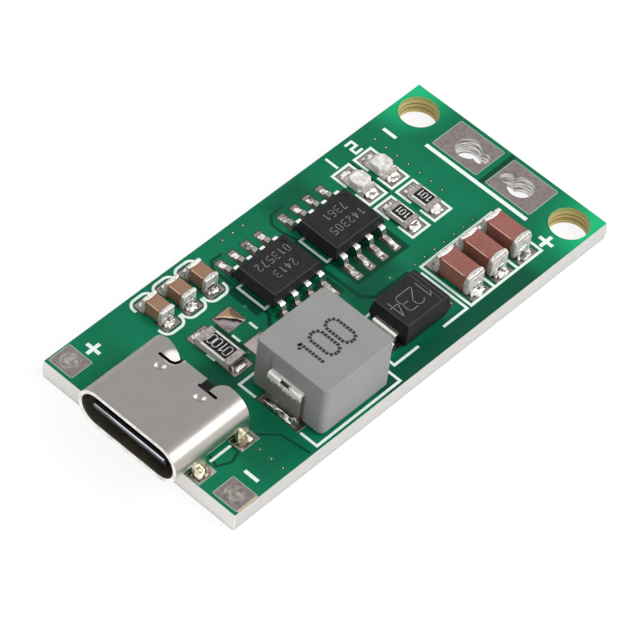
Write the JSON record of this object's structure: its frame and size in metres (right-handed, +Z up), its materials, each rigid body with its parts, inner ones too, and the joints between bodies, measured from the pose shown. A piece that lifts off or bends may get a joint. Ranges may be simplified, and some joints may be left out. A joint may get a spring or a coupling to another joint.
{
  "type": "lithium battery charger module",
  "caption": "Green circuit board that charges a lithium battery: Type-C power socket at one end, power parts along the middle, wire lands and mounting holes at the other end.",
  "frame": {"origin": "centre of the module's footprint on the board's underside", "axes": "+X from the socket end to the output end, +Y towards the long edge with the input capacitors, +Z up from the underside to the parts"},
  "size_m": [0.0386, 0.0176, 0.0062],
  "materials": {
    "laminate": "glass-cloth epoxy, snapped edge",
    "solder_mask": "green solder mask, satin gloss",
    "legend_ink": "white printed ink",
    "tinned_land": "tinned copper",
    "bare_wire_land": "tinned copper, dull",
    "socket_steel": "nickel-plated pressed steel, satin",
    "black_moulding": "moulded black polymer",
    "contact_metal": "gold-flashed contact metal",
    "chip_moulding": "moulded epoxy, fine matte",
    "lead_tin": "bright tin",
    "inductor_powder": "pressed iron powder, painted grey",
    "strap_metal": "bright tinned copper strap",
    "input_ceramic": "fired ceramic, tan",
    "output_ceramic": "fired ceramic, red-brown",
    "end_metal": "dipped and plated end metal",
    "white_ceramic": "white alumina",
    "black_coat": "dark glass coat",
    "lamp_lens": "milky cast resin",
    "solder": "reflowed solder"
  },
  "bodies": {
    "root": {"board_laminate": "laminate", "capacitor_solder": "solder", "charge_controller_body": "chip_moulding", "charge_controller_leads": "lead_tin", "chip_solder": "solder", "component_lands": "tinned_land", "diode_anode_lead": "lead_tin", "diode_body": "chip_moulding", "diode_cathode_lead": "lead_tin", "diode_solder": "solder", "inductor_core": "inductor_powder", "inductor_solder": "solder", "inductor_strap_output_side": "strap_metal", "inductor_strap_socket_side": "strap_metal", "input_capacitor_1_caps": "end_metal", "input_capacitor_1_ceramic": "input_ceramic", "input_capacitor_2_caps": "end_metal", "input_capacitor_2_ceramic": "input_ceramic", "input_capacitor_3_caps": "end_metal", "input_capacitor_3_ceramic": "input_ceramic", "input_hole_solder": "solder", "input_land_negative": "bare_wire_land", "input_land_positive": "bare_wire_land", "lamp_1_base": "white_ceramic", "lamp_1_ends": "end_metal", "lamp_1_lens": "lamp_lens", "lamp_2_base": "white_ceramic", "lamp_2_ends": "end_metal", "lamp_2_lens": "lamp_lens", "lamp_resistor_1_coat": "black_coat", "lamp_resistor_1_ends": "end_metal", "lamp_resistor_1_slab": "white_ceramic", "lamp_resistor_2_coat": "black_coat", "lamp_resistor_2_ends": "end_metal", "lamp_resistor_2_slab": "white_ceramic", "legend_print": "legend_ink", "output_capacitor_1_caps": "end_metal", "output_capacitor_1_ceramic": "output_ceramic", "output_capacitor_2_caps": "end_metal", "output_capacitor_2_ceramic": "output_ceramic", "output_capacitor_3_caps": "end_metal", "output_capacitor_3_ceramic": "output_ceramic", "output_land_negative": "bare_wire_land", "output_land_positive": "bare_wire_land", "power_switch_body": "chip_moulding", "power_switch_leads": "lead_tin", "resistor_and_lamp_solder": "solder", "sense_resistor_coat": "black_coat", "sense_resistor_ends": "end_metal", "sense_resistor_slab": "white_ceramic", "socket_contacts_lower": "contact_metal", "socket_contacts_upper": "contact_metal", "socket_insulator": "black_moulding", "socket_jacket": "socket_steel", "socket_mid_plate": "socket_steel", "socket_tab_solder": "solder", "solder_mask_bottom": "solder_mask", "solder_mask_top": "solder_mask", "spare_land_solder": "solder", "via_barrels": "tinned_land"}
  },
  "joints": []
}
